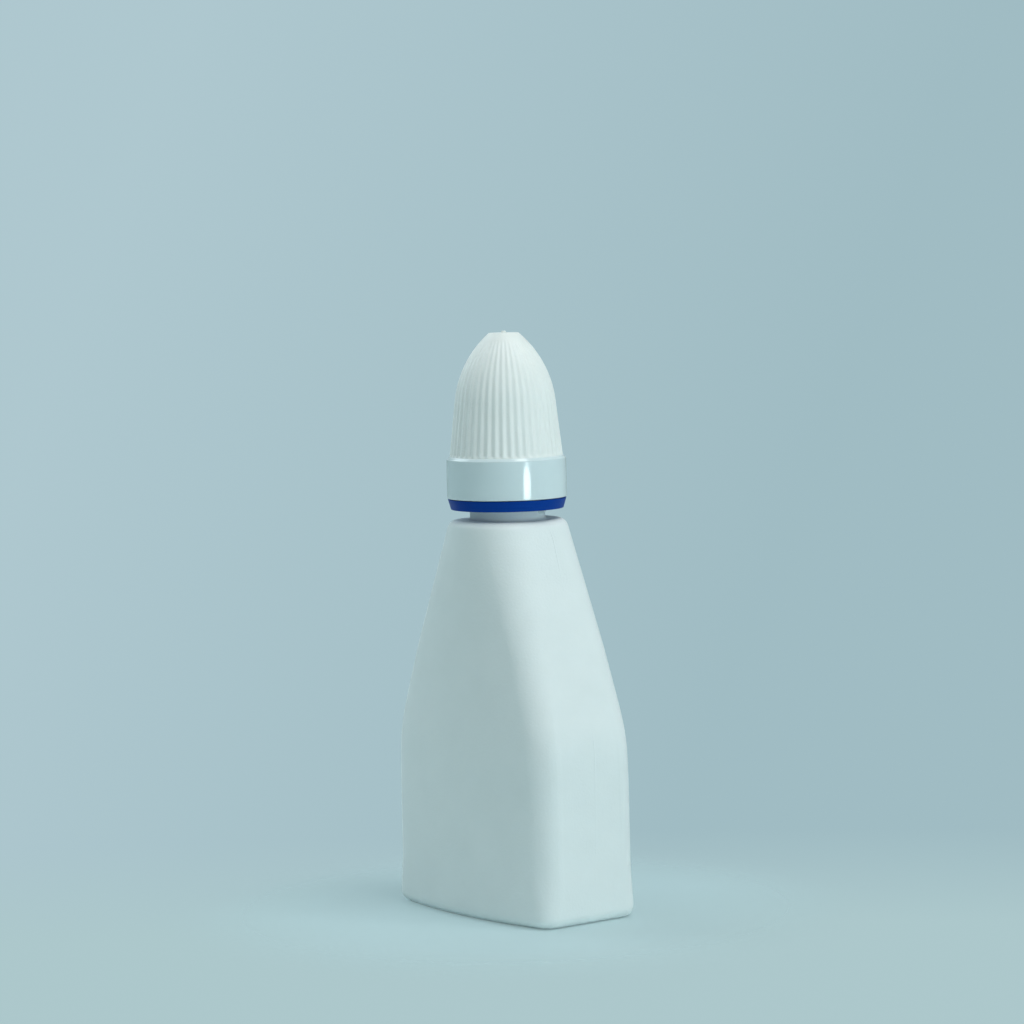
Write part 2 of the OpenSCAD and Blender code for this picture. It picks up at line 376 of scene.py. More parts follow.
def section(z, inset, mark, crease):
    """The body's outline at height z, drawn in by inset, as a ring that starts at the front of the +X face.
    mark is the height of the mould line on the narrow faces. crease, from 0 to 1, is how far their edges
    are creased: each corner's arc then leaves the narrow face at an angle, with a low bead beside it."""
    half_w = blend(BODY_W, SHOULDER_W, z) / 2 - inset
    half_d = blend(BODY_D, SHOULDER_D, z) / 2 - inset
    tangent_r = max(LEAST_CORNER_R, blend(CORNER_R, SHOULDER_CORNER_R, z) - inset)
    swell = blend(FACE_SWELL, SHOULDER_SWELL, z)
    flat_w, flat_d = half_w - tangent_r, half_d - tangent_r
    swell_r = (flat_w * flat_w + swell * swell) / (2 * swell)
    face_r = swell_r + tangent_r
    face_y = flat_d + swell - swell_r
    rise = flat_d - face_y
    begin = CREASE_TURN * crease
    spare = face_r - half_w * math.cos(begin) - rise * math.sin(begin)
    r = (face_r ** 2 - half_w ** 2 - rise ** 2) / (2 * spare)
    corner_x, corner_y = half_w - r * math.cos(begin), flat_d - r * math.sin(begin)
    end = math.atan2(corner_y - face_y, corner_x)
    line = min(LINE_Y + LINE_LEAN * z, flat_d - CREASE_SOFT - 2 * LINE_HALF)
    along = side_stations(flat_d, flat_d + r * (end - begin), line)
    past = np.abs(along) - flat_d
    turn = begin + np.clip(past, 0, None) / r
    lift = mark * share(np.abs(along - line), LINE_HALF, 0)
    lift = lift + CREASE_H * crease * share(np.abs(past + CREASE_IN), CREASE_HALF, 0)
    side = np.where(
        past[:, None] > 0,
        np.column_stack([corner_x + r * np.cos(turn), (corner_y + r * np.sin(turn)) * np.sign(along)]),
        np.column_stack([half_w + lift, along])
    )
    back = arc_points((0, face_y), face_r, end, math.pi - end, BACK_STEPS)[1:-1]
    return np.concatenate([side, back, side[::-1] * (-1, 1), -back])


def mould_mark(z):
    """Height of the mould line, which shows below the waist and close under the shoulder."""
    low = share(z, *LOW_LINE_STARTS) * share(z, *LOW_LINE_ENDS)
    if z < LINE_FAINT_Z:
        low = low * LINE_FAINT
    high = share(z, *HIGH_LINE_STARTS) * share(z, *HIGH_LINE_ENDS)
    return LINE_H * max(low, high, LINE_LEAST)


def crease_mark(z):
    """How far the narrow faces' edges are creased, which fades out at the foot and above the waist."""
    return share(z, *CREASE_STARTS) * share(z, *CREASE_ENDS)


def body_rings(stations, marked=False):
    """Rings of the body's outline at stations (z, inset), with the mould line and crease if marked."""
    outlines = [
        section(z, inset, mould_mark(z), crease_mark(z)) if marked else section(z, inset, 0, 0)
        for z, inset in stations
    ]
    return np.array([
        np.column_stack([outline, np.full(len(outline), z)]) for outline, (z, _) in zip(outlines, stations)
    ])


def foot_stations(z, inset, r, steps):
    """Stations up a rounded lower edge that starts at height z."""
    angles = np.linspace(0, math.pi / 2, steps + 1)
    return [(z + r - r * math.cos(a), inset + r - r * math.sin(a)) for a in angles]


def top_stations(z, inset, r, steps):
    """Stations up a rounded upper edge that ends at height z."""
    angles = np.linspace(0, math.pi / 2, steps + 1)
    return [(z - r + r * math.sin(a), inset + r - r * math.cos(a)) for a in angles]


def climb(start, end, inset, step):
    """Even stations between two heights, without the heights themselves."""
    count = math.ceil((end - start) / step)
    return [(start + (end - start) * i / count, inset) for i in range(1, count)]


def helix(z, angles, start_z):
    """How near a point is to the crest of the thread: 1 on its flat crest, 0 off its flanks."""
    near = np.zeros_like(z)
    for turn in range(math.ceil(THREAD_TURNS) + 1):
        around = (angles % (2 * math.pi)) / (2 * math.pi) + turn
        crest_z = start_z + THREAD_PITCH * around
        flank = share(np.abs(z - crest_z), THREAD_HALF, THREAD_CREST_HALF)
        run_in = share(around, 0, THREAD_RUN_IN) * share(around, THREAD_TURNS, THREAD_TURNS - THREAD_RUN_IN)
        near = np.maximum(near, flank * flank * (3 - 2 * flank) * run_in)
    return near


def neck_relief(r, z, angles):
    """The neck's thread and its two ratchet lugs, each steep on one side and sloping on the other."""
    across = (np.degrees(angles) - LUG_TURN) % 180
    across = np.where(across > 90, across - 180, across)
    slope = share(across, LUG_STEEP, LUG_STEEP + LUG_STEEP_W) * share(across, LUG_FOOT, 0)
    low, high = SHOULDER_Z + LUG_GAP, SHOULDER_Z + LUG_GAP + LUG_H
    ends = share(z, low, low + LUG_EDGE) * share(z, high, high - LUG_EDGE)
    return THREAD_H * helix(z, angles, THREAD_Z) + (LUG_R - NECK_ROOT_R) * slope * ends


def weld_bead():
    """The raised weld line that pinching off the tube leaves across the base."""
    along = np.linspace(-WELD_L / 2, WELD_L / 2, WELD_STEPS + 1)
    across = np.linspace(0, math.pi, WELD_SIDES + 1)
    points = []
    for x in along:
        taper = math.sqrt(max(0.0, 1 - (2 * x / WELD_L) ** 8))
        ripple = 1 + WELD_RIPPLE * math.sin(2.1 * x) * math.sin(0.7 * x + 1)
        for a in across:
            y = -WELD_HALF * taper * ripple * math.cos(a)
            z = PUSH_UP + WELD_ROOT - (WELD_H + WELD_ROOT) * taper * math.sin(a)
            points.append((x, y, z))
    count = len(across)
    starts = [i * count for i in range(len(along) - 1)]
    faces = [
        [start + j, start + count + j, start + count + j + 1, start + j + 1]
        for start in starts for j in range(count - 1)
    ]
    faces += [[start, start + count - 1, start + 2 * count - 1, start + count] for start in starts]
    return np.array(points), faces


def make_bottle(material):
    recess = BASE_EDGE_R + CONTACT_W
    base = [(PUSH_UP * t, recess + 2 * PUSH_UP * t) for t in (1, 0.85, 0.5, 0.15, 0)]
    low_part = body_rings(base + [(0, recess - CONTACT_W / 2)])
    high_part = body_rings(
        foot_stations(0, 0, BASE_EDGE_R, steps=8)
        + climb(BASE_EDGE_R, SHOULDER_Z - SHOULDER_EDGE_R, 0, step=0.6)
        + top_stations(SHOULDER_Z, 0, SHOULDER_EDGE_R, steps=10),
        marked=True
    )
    rim = high_part[-1]
    angles = np.unwrap(np.arctan2(rim[:, 1], rim[:, 0]))
    neck = divided(rounded([
        (NECK_ROOT_R + NECK_FILLET + 0.3, SHOULDER_Z, 0),
        (NECK_ROOT_R, SHOULDER_Z, NECK_FILLET),
        (NECK_ROOT_R, BEAD_Z - BEAD_SLOPE, 0.15),
        (BEAD_R, BEAD_Z, 0.12),
        (BEAD_R, BEAD_Z + BEAD_H / 2, 0.15),
        (NECK_R, BEAD_Z + BEAD_H, 0.2),
        (NECK_R, LIP_Z, 0.3),
        (NECK_BORE_R, LIP_Z, 0.2),
        (NECK_BORE_R, LIP_END_Z, 0)
    ]), longest=0.13)
    # Two rings are left off at its end, to keep clear of the bore's first one
    neck = neck[:-2]
    roof_z = SHOULDER_Z - SHOULDER_T
    floor_z = PUSH_UP + BASE_T
    bore = rounded([
        (NECK_BORE_R, BORE_START_Z, 0),
        (NECK_BORE_R, roof_z, 0.3),
        (NECK_BORE_R + 0.5, roof_z, 0)
    ])
    hollow = body_rings([
        *top_stations(roof_z, WALL, SHOULDER_EDGE_R, steps=6)[::-1],
        *climb(floor_z + BASE_EDGE_R, roof_z - SHOULDER_EDGE_R, WALL, step=2)[::-1],
        *foot_stations(floor_z, WALL, BASE_EDGE_R, steps=5)[::-1],
        (floor_z, HOLLOW_MIDDLE)
    ])
    rings = np.concatenate([
        low_part, high_part, turned(neck, angles, neck_relief), turned(bore, angles), hollow
    ])
    return piece("bottle_shell", rings, "bottle", "bottle", material, extra=[weld_bead()])


# The dropper

def make_dropper(material):
    plug_bore_r = PLUG_R - PLUG_WALL
    flange_z = LIP_Z + FLANGE_H
    fillet = NOZZLE_FOOT_R - NOZZLE_R
    ribs = []
    for i in range(PLUG_RIBS):
        rib_z = PLUG_Z + (i + 1) * PLUG_RIB_PITCH
        ribs += [
            (PLUG_R, rib_z - PLUG_RIB_HALF, 0.1),
            (PLUG_R + PLUG_RIB_H, rib_z, 0.2),
            (PLUG_R, rib_z + PLUG_RIB_HALF, 0.1)
        ]
    plug = rounded([
        (plug_bore_r, PLUG_Z + 1, 0),
        (plug_bore_r, PLUG_Z, 0.15),
        (PLUG_R - PLUG_LEAD_IN, PLUG_Z, 0.1),
        (PLUG_R, PLUG_Z + PLUG_LEAD_H, 0.2),
        *ribs,
        (PLUG_R, LIP_Z, 0),
        (FLANGE_R, LIP_Z, 0.12),
        (FLANGE_R, flange_z, 0.3),
        (NOZZLE_FOOT_R + 0.1, flange_z, 0)
    ])
    foot = arc_points((NOZZLE_FOOT_R, flange_z + fillet), fillet, 1.5 * math.pi, math.pi, steps=16)
    tip = arc_points((TIP_R - TIP_EDGE_R, TIP_Z - TIP_EDGE_R), TIP_EDGE_R, 0, TIP_ANGLE, steps=12)
    channel = rounded([
        (*tip[-1], 0),
        (DISH_R, TIP_Z, 0.04),
        (ORIFICE_R, TIP_Z - DISH_DEPTH, 0.1),
        (ORIFICE_R, TIP_Z - 3 * DISH_DEPTH, 0),
        (CHANNEL_R, TIP_Z - 4 * DISH_DEPTH, 0),
        (CHANNEL_R, flange_z + fillet, 0),
        (plug_bore_r, LIP_Z - 1.5, 0),
        (plug_bore_r, PLUG_Z + 1.2, 0)
    ])[1:]
    rings = turned(divided(np.concatenate([plug, foot, tip, channel]), longest=0.6), around_z(ROUND_SIDES))
    return piece("dropper_nozzle", rings, "bottle", "dropper", material, loop=True)


# The tamper ring

def ring_relief(r, z, angles):
    """The inward teeth of the tamper ring, on its inner wall only."""
    pitch = 2 * math.pi / RING_TEETH
    across = ((angles - math.radians(LUG_TURN)) % pitch) - pitch / 2
    width = share(np.abs(across), TOOTH_HALF, TOOTH_CREST_HALF)
    mid_wall = RING_BOTTOM_R - RING_WALL / 2
    inner = share(r, mid_wall, mid_wall - 0.1)
    height = share(z, *TOOTH_STARTS) * share(z, *TOOTH_ENDS)
    return -(r - TOOTH_R) * width * inner * height


def bridge_stub(angle):
    """The snapped end of one bridge, a short round pin with a torn, slanting top."""
    around = around_z(BRIDGE_SIDES)
    root, shank, end = (-0.3, 1), (0.02, 1), (0.08, 0.75)
    rows = []
    for level, taper in (root, shank, end):
        slant = BRIDGE_TEAR * np.cos(around + 3 * angle) if level > 0 else 0
        z = np.minimum(RING_TOP_Z + level + slant, RING_TOP_Z + BRIDGE_PROUD)
        x = RING_TOP_R - BRIDGE_IN + BRIDGE_R * taper * np.cos(around)
        y = BRIDGE_R * taper * np.sin(around)
        rows.append(np.stack([
            x * math.cos(angle) - y * math.sin(angle), x * math.sin(angle) + y * math.cos(angle), z + 0 * x
        ], axis=1))
    sides = range(BRIDGE_SIDES)
    faces = []
    for low in (0, BRIDGE_SIDES):
        high = low + BRIDGE_SIDES
        for i in sides:
            nearer = (i + 1) % BRIDGE_SIDES
            faces.append([low + i, low + nearer, high + nearer, high + i])
    faces.append(list(sides)[::-1])
    faces.append([2 * BRIDGE_SIDES + i for i in sides])
    return np.concatenate(rows), faces


def make_tamper_ring(material):
    inner_r = RING_BOTTOM_R - RING_WALL
    profile = rounded([
        (inner_r + 0.4, RING_Z, 0),
        (RING_BOTTOM_R, RING_Z, 0.09),
        (RING_TOP_R, RING_TOP_Z, 0.06),
        (RING_LIP_R, RING_TOP_Z, 0.12),
        (RING_LIP_R, RING_LIP_Z, 0.12),
        (inner_r, RING_LIP_Z, 0.08),
        (inner_r, RING_Z, 0.1),
        (inner_r + 0.4, RING_Z, 0)
    ])[:-1]
    rings = turned(divided(profile, longest=0.12), around_z(2 * ROUND_SIDES), ring_relief)
    stubs = [bridge_stub(2 * math.pi * i / BRIDGES) for i in range(BRIDGES)]
    return piece(
        "tamper_band", rings, "tamper_ring", "tamper_ring", material, loop=True, extra=stubs
    )


# The seal

def make_seal(material):
    cup_top_z = TIP_Z + SEAL_GAP
    cup_r = TIP_R + SEAL_GAP
    groove_r = SOCKET_R - SOCKET_RIB_IN - SEAL_PLAY
    groove_z = SOCKET_RIB_Z - SEAL_PLAY
    groove_top_z = SOCKET_RIB_Z + SOCKET_RIB_H + SEAL_PLAY
    pin = rounded([
        (END_R, cup_top_z - PIN_H, 0),
        (PIN_R * 0.7, cup_top_z - PIN_H, 0.08),
        (PIN_R, cup_top_z - PIN_H / 2, 0.1),
        (PIN_R, cup_top_z, 0.03),
        (PIN_R + 0.1, cup_top_z, 0)
    ])
    cup = arc_points((TIP_R - TIP_EDGE_R, TIP_Z - TIP_EDGE_R), TIP_EDGE_R + SEAL_GAP, TIP_ANGLE, 0, steps=12)
    outside = rounded([
        (*cup[-1], 0),
        (cup_r + 0.1, SEAL_Z + 0.3, 0.1),
        (cup_r + 0.3, SEAL_Z, 0.1),
        (SEAL_R, SEAL_Z, 0.2),
        (SEAL_R, groove_z, 0.05),
        (groove_r, groove_z + SOCKET_RIB_IN, 0.05),
        (groove_r, groove_top_z - SOCKET_RIB_IN, 0.05),
        (SEAL_R, groove_top_z, 0.05),
        (SEAL_R, SEAL_TOP_Z, 0.15),
        (END_R, SEAL_TOP_Z, 0)
    ])[1:]
    rings = turned(divided(np.concatenate([pin, cup, outside]), longest=0.5), around_z(ROUND_SIDES))
    return piece("seal_insert", rings, "cap_seal", "cap_seal", material)


# The cap

# The dome's wall runs straight from its foot to its bend, and then closes in an arc round its centre.
dome_out = np.array([math.cos(DOME_DRAFT), math.sin(DOME_DRAFT)])
dome_foot = np.array([DOME_R, DOME_Z])
dome_bend = dome_foot + (DOME_ARC_Z - DOME_Z) * np.array([-math.tan(DOME_DRAFT), 1])
dome_centre = dome_bend - DOME_ARC_R * dome_out


def dome_arc(inset, end_z, steps):
    """The dome's closing arc, drawn in by inset, from its foot up to height end_z."""
    radius = DOME_ARC_R - inset
    end = math.asin((end_z - dome_centre[1]) / radius)
    return arc_points(dome_centre, radius, DOME_DRAFT, end, steps)


def flute_relief(r, z, angles):
    """Soft round flutes that get shallower up the dome and end in a small scoop at its foot."""
    climbed = share(z, DOME_Z, FLUTE_TOP_Z)
    fade = (1 - FLUTE_FADE * climbed) * np.sqrt(share(climbed, 1, 1 - FLUTE_END))
    scoop = share(z, SCOOP_Z, SCOOP_Z + SCOOP_H)
    wave = (1 - np.cos(FLUTES * angles)) / 2
    return -FLUTE_DEPTH * fade * np.sqrt(scoop * (2 - scoop)) * wave


def cap_thread(r, z, angles):
    """The cap's thread, half a pitch below the neck's, which fades out at both ends of the bore."""
    inside = share(z, *CAP_THREAD_STARTS) * share(z, *CAP_THREAD_ENDS)
    return -THREAD_H * helix(z, angles, THREAD_Z - THREAD_PITCH / 2) * inside


def make_cap(material):
    angles = around_z(FLUTES * FLUTE_STEPS)
    socket_out_r = SOCKET_R + SOCKET_WALL
    inner_arc_r = DOME_ARC_R - CAP_WALL
    pocket_z = dome_centre[1] + math.sqrt(inner_arc_r ** 2 - (socket_out_r - dome_centre[0]) ** 2)
    rib_r = SOCKET_R - SOCKET_RIB_IN
    rib_top_z = SOCKET_RIB_Z + SOCKET_RIB_H
    socket = rounded([
        (END_R, CROWN_Z - CROWN_T, 0),
        (SOCKET_R, CROWN_Z - CROWN_T, 0.1),
        (SOCKET_R, rib_top_z, 0.05),
        (rib_r, rib_top_z - SOCKET_RIB_IN, 0.05),
        (rib_r, SOCKET_RIB_Z + SOCKET_RIB_IN, 0.05),
        (SOCKET_R, SOCKET_RIB_Z, 0.05),
        (SOCKET_R, SOCKET_Z, 0.1),
        (socket_out_r, SOCKET_Z, 0.1),
        (socket_out_r, pocket_z - 0.5, 0)
    ])
    pocket = dome_arc(CAP_WALL, pocket_z, steps=30)[::-1]
    bore = divided(rounded([
        (pocket[-1][0] + 0.05, pocket[-1][1] - 0.4, 0),
        (CAP_BORE_R, BORE_TOP_Z, 0.6),
        (CAP_BORE_R, SKIRT_Z, 0.3),
        (SKIRT_R, SKIRT_Z, 0.13),
        (SKIRT_R, SKIRT_Z + 0.3, 0)
    ]), longest=0.14)[1:]
    skirt_top_r = SKIRT_R - SKIRT_DRAFT
    skirt = rounded([
        (SKIRT_R, SKIRT_Z + 0.4, 0),
        (SKIRT_R, RIM_Z - 1.6, SKIRT_CROWN_R),
        (skirt_top_r, RIM_Z - RIM_BEVEL / 2, 0.16),
        (skirt_top_r - RIM_BEVEL, RIM_Z + RIM_BEVEL / 2, 0.12),
        (DOME_R, DOME_Z, 0)
    ])
    wall_foot = dome_foot + (0, 0.02)
    wall = divided(np.array([wall_foot, dome_bend]), longest=0.15)
    closing = dome_arc(0, CROWN_Z, steps=90)
    crown = rounded([
        (*closing[-2], 0),
        (closing[-1][0], CROWN_Z, 0.1),
        (NUB_R, CROWN_Z, 0.06),
        (NUB_R, TOTAL_H, 0.1),
        (NUB_END_R, TOTAL_H, 0)
    ])[1:]
    rings = np.concatenate([
        turned(socket, angles),
        turned(pocket, angles),
        turned(bore, angles, cap_thread),
        turned(skirt, angles),
        turned(np.concatenate([wall, closing[1:-1]]), angles, flute_relief),
        turned(crown, angles)
    ])
    return piece("cap_cover", rings, "cap", "cap", material)


# Materials, whose scales are in features for each metre and whose depths are in metres
CLOUD_SCALE = 140
CLOUD_RANGE = (0.3, 0.7)
SMEAR_SCALE = 420
SMEAR_RANGE = (0.25, 0.75)
SCATTER_COLOR = (1.0, 0.95, 0.9)
SCATTER_DEPTH = 0.0015
PLASTIC_IOR = 1.5
BOTTLE_LIGHT, BOTTLE_DARK = (0.80, 0.875, 0.88), (0.775, 0.85, 0.855)
# Painted glow on the neck, paler and bluer than the body
NECK_PAINTED_GLOW = (0.85, 0.95, 0.975)
NOZZLE_LIGHT, NOZZLE_DARK = (0.86, 0.90, 0.90), (0.84, 0.88, 0.88)
RING_LIGHT, RING_DARK = (0.002, 0.048, 0.31), (0.0015, 0.039, 0.26)
SEAL_LIGHT, SEAL_DARK = (0.84, 0.85, 0.82), (0.80, 0.81, 0.78)
ETCHED_LIGHT, ETCHED_DARK = (0.87, 0.92, 0.90), (0.84, 0.89, 0.87)
# Skirt colour, partly a painted reflection of the blue-grey surroundings
SKIRT_TINT_AND_REFLECTION_LIGHT, SKIRT_TINT_AND_REFLECTION_DARK = (0.695, 0.815, 0.845), (0.665, 0.785, 0.815)
GLOSSY_CLOUD_SCALE = 90
GLOSSY_SMEAR_SCALE = 700
GLOSSY_ROUGH = (0.09, 0.13)
GLOSSY_GRAIN = 0.06


def node(tree, kind, settings=None, **inputs):
    """A new shader node; settings are its properties, inputs its sockets, by name or by number as in1."""
    made = tree.nodes.new("ShaderNode" + kind)
    for name, value in (settings or {}).items():
        setattr(made, name, value)
    for name, value in inputs.items():
        key = int(name[2:]) if name.startswith("in") and name[2:].isdigit() else name.replace("_", " ")
        socket = made.inputs[key]
        if isinstance(value, bpy.types.NodeSocket):
            tree.links.new(value, socket)
        else:
            socket.default_value = value
    return made


def new_material(name):
    """A new material, with its node tree, its shader and its object's own coordinates."""
    material = bpy.data.materials.new(name)
    material.use_nodes = True
    tree = material.node_tree
    shader = tree.nodes["Principled BSDF"]
    place = node(tree, "TexCoord").outputs["Object"]
    return material, tree, shader, place


def ramp(tree, value, low, high, to_low=0.0, to_high=1.0):
    """A value that goes from to_low to to_high as the given one goes from low to high."""
    made = node(tree, "MapRange", Value=value, From_Min=low, From_Max=high, To_Min=to_low, To_Max=to_high)
    return made.outputs["Result"]


def noise(tree, place, per_metre, detail=2.0, roughness=0.5):
    made = node(tree, "TexNoise", Vector=place, Scale=per_metre, Detail=detail, Roughness=roughness)
    return made.outputs["Fac"]


def mixed(tree, factor, one, two):
    """A colour between one and two, each of which is a socket or a plain colour."""
    made = node(tree, "Mix", {"data_type": "RGBA"}, Factor=factor)
    for key, value in ((6, one), (7, two)):
        if isinstance(value, bpy.types.NodeSocket):
            tree.links.new(value, made.inputs[key])
        else:
            made.inputs[key].default_value = (*value, 1)
    return made.outputs[2]


def bumped(tree, height, distance, normal=None):
    made = node(tree, "Bump", Height=height, Distance=distance, Strength=1.0)
    if normal is not None:
        tree.links.new(normal, made.inputs["Normal"])
    return made.outputs["Normal"]


def plastic(name, light, dark, rough, grain, ripple, scatter=0.0, gloss_level=0.5):
    """A moulded plastic: cloudy colour between light and dark, roughness from rough[0] to rough[1],
    grain (scale, depth) and ripple (scale, depth) as bump."""
    material, tree, shader, place = new_material(name)
    cloud = noise(tree, place, CLOUD_SCALE, 3.0)
    tree.links.new(mixed(tree, ramp(tree, cloud, *CLOUD_RANGE), light, dark), shader.inputs["Base Color"])
    smear = noise(tree, place, SMEAR_SCALE, 4.0, 0.6)
    tree.links.new(ramp(tree, smear, *SMEAR_RANGE, *rough), shader.inputs["Roughness"])
    rippled = bumped(tree, noise(tree, place, ripple[0], 1.0), ripple[1])
    grained = bumped(tree, noise(tree, place, grain[0], 2.0), grain[1], rippled)
    tree.links.new(grained, shader.inputs["Normal"])
    shader.inputs["IOR"].default_value = PLASTIC_IOR
    shader.inputs["Specular IOR Level"].default_value = gloss_level
    if scatter:
        shader.inputs["Subsurface Weight"].default_value = scatter
        shader.inputs["Subsurface Radius"].default_value = SCATTER_COLOR
        shader.inputs["Subsurface Scale"].default_value = SCATTER_DEPTH
    return material, tree, shader, place


def height_ramp(tree, place, low_z, high_z):
    """0 below low_z and 1 above high_z."""
    height = node(tree, "SeparateXYZ", Vector=place).outputs["Z"]
    return ramp(tree, height, low_z * MM, high_z * MM)


def cap_material():
    """Glossy, cooler and nearly without grain below the rim, finely etched above it. The skirt's cooler,
    darker colour is partly painted reflection, standing in for the blue-grey surroundings that the glossy
    skirt mirrors.
    """
    material, tree, shader, place = plastic(
        "cap_white", ETCHED_LIGHT, ETCHED_DARK,
        rough=(0.42, 0.55), grain=(3200, 0.00003), ripple=(300, 0.00002), scatter=0.3
    )
    etched = height_ramp(tree, place, RIM_Z + 0.1, RIM_Z + 0.4)
    # Partly painted reflection: the skirt below the rim is given a darker, bluer colour for the blue-grey
    # surroundings it reflects
    cloud = ramp(tree, noise(tree, place, GLOSSY_CLOUD_SCALE, 3.0), *CLOUD_RANGE)
    tint_and_reflection = mixed(tree, cloud, SKIRT_TINT_AND_REFLECTION_LIGHT, SKIRT_TINT_AND_REFLECTION_DARK)
    warm = shader.inputs["Base Color"].links[0].from_socket
    tree.links.new(mixed(tree, etched, tint_and_reflection, warm), shader.inputs["Base Color"])
    gloss = ramp(tree, noise(tree, place, GLOSSY_SMEAR_SCALE, 3.0), *CLOUD_RANGE, *GLOSSY_ROUGH)
    matt = shader.inputs["Roughness"].links[0].from_socket
    tree.links.new(node(tree, "Mix", Factor=etched, A=gloss, B=matt).outputs[0], shader.inputs["Roughness"])
    for bump in [n for n in tree.nodes if n.bl_idname == "ShaderNodeBump"]:
        tree.links.new(ramp(tree, etched, 0, 1, GLOSSY_GRAIN, 1.0), bump.inputs["Strength"])
    return material


def bottle_material():
    """A satin white, with a painted glow on the neck: it is made paler and bluer there to stand in for light
    that comes through the wall.
    """
    material, tree, shader, place = plastic(
        "bottle_white", BOTTLE_LIGHT, BOTTLE_DARK,
        rough=(0.5, 0.62), grain=(2600, 0.00003), ripple=(130, 0.00006), scatter=0.3, gloss_level=0.3
    )
    # Painted light: the neck's colour is raised to stand in for light that comes through its wall
    neck_glow = height_ramp(tree, place, SHOULDER_Z + 0.1, SHOULDER_Z + 0.6)
    plain_white = shader.inputs["Base Color"].links[0].from_socket
    tree.links.new(mixed(tree, neck_glow, plain_white, NECK_PAINTED_GLOW), shader.inputs["Base Color"])
    return material


def nozzle_material():
    return plastic(
        "nozzle_white", NOZZLE_LIGHT, NOZZLE_DARK,
        rough=(0.26, 0.32), grain=(3000, 0.00001), ripple=(260, 0.00002)
    )[0]


def ring_material():
    return plastic(
        "ring_blue", RING_LIGHT, RING_DARK,
        rough=(0.32, 0.46), grain=(3600, 0.00003), ripple=(400, 0.00002), gloss_level=0.05
    )[0]


def seal_material():
    return plastic(
        "seal_white", SEAL_LIGHT, SEAL_DARK,
        rough=(0.45, 0.6), grain=(2600, 0.00002), ripple=(300, 0.00003), scatter=0.2
    )[0]


make_bottle(bottle_material())
make_dropper(nozzle_material())
make_tamper_ring(ring_material())
make_seal(seal_material())
make_cap(cap_material())

# Camera, at the photograph's place
CAMERA_AZIMUTH = 52.12
CAMERA_DISTANCE = 590.65
CAMERA_HEIGHT = 111.36
CAMERA_TURN = 52.047
CAMERA_PITCH = 4.384
CAMERA_ROLL = -1.244
CAMERA_LENS = 126.1
SENSOR_W = 36


def make_camera():
    data = bpy.data.cameras.new("camera")
    data.sensor_fit = "HORIZONTAL"
    data.sensor_width = SENSOR_W
    data.lens = CAMERA_LENS
    data.clip_start = 0.01
    data.clip_end = 20
    camera = bpy.data.objects.new("camera", data)
    azimuth = math.radians(CAMERA_AZIMUTH)
    stand = Vector((
        CAMERA_DISTANCE * math.sin(azimuth), -CAMERA_DISTANCE * math.cos(azimuth), CAMERA_HEIGHT
    )) * MM
    camera.matrix_world = (
        Matrix.Translation(stand)
        @ Matrix.Rotation(math.radians(CAMERA_TURN), 4, "Z")
        @ Matrix.Rotation(math.radians(90 - CAMERA_PITCH), 4, "X")
        @ Matrix.Rotation(math.radians(CAMERA_ROLL), 4, "Z")
    )
    bpy.context.scene.collection.objects.link(camera)
    bpy.context.scene.camera = camera


# Studio
LAMP_DISTANCE = 700
WORLD_COLOR = (0.86, 1.0, 0.98)
WORLD_STRENGTH = 0.295
# Backdrop colours with a painted falloff of light from left to right
BACKDROP_LEFT = (0.425, 0.575, 0.625)
BACKDROP_RIGHT = (0.352, 0.502, 0.548)
BACKDROP_TURN = 0.11
BACKDROP_TILT = -0.4
BACKDROP_FLOOR = (0.415, 0.575, 0.6)
HORIZON = (-0.165, -0.19)
FLOOR_M = 12
FLOOR = (0.53, 0.70, 0.735)
FLOOR_PALER = 1.04
FLOOR_BOUNCE = (0.66, 0.80, 0.82)
FLOOR_CLOUD_SCALE = 18
FLOOR_ROUGH = 0.5
FLOOR_GLOSS = 0.3
FLOOR_NEAR = 32
FLOOR_FAR = 62
SHADOW_FADE = 0.45


def softbox(name, azimuth, elevation, width, height, power, color, shape="RECTANGLE"):
    """An area lamp that faces the bottle's middle; azimuth 0 stands at -Y and 90 at +X."""
    data = bpy.data.lights.new(name, "AREA")
    data.shape = shape
    data.size = width * MM
    data.size_y = height * MM
    data.energy = power
    data.color = color
    lamp = bpy.data.objects.new(name, data)
    a, e = math.radians(azimuth), math.radians(elevation)
    outward = Vector((math.sin(a) * math.cos(e), -math.cos(a) * math.cos(e), math.sin(e)))
    middle = Vector((0, 0, TOTAL_H / 2 * MM))
    lamp.location = middle + outward * LAMP_DISTANCE * MM
    lamp.rotation_mode = "QUATERNION"
    lamp.rotation_quaternion = (-outward).to_track_quat("-Z", "Y")
    bpy.context.scene.collection.objects.link(lamp)


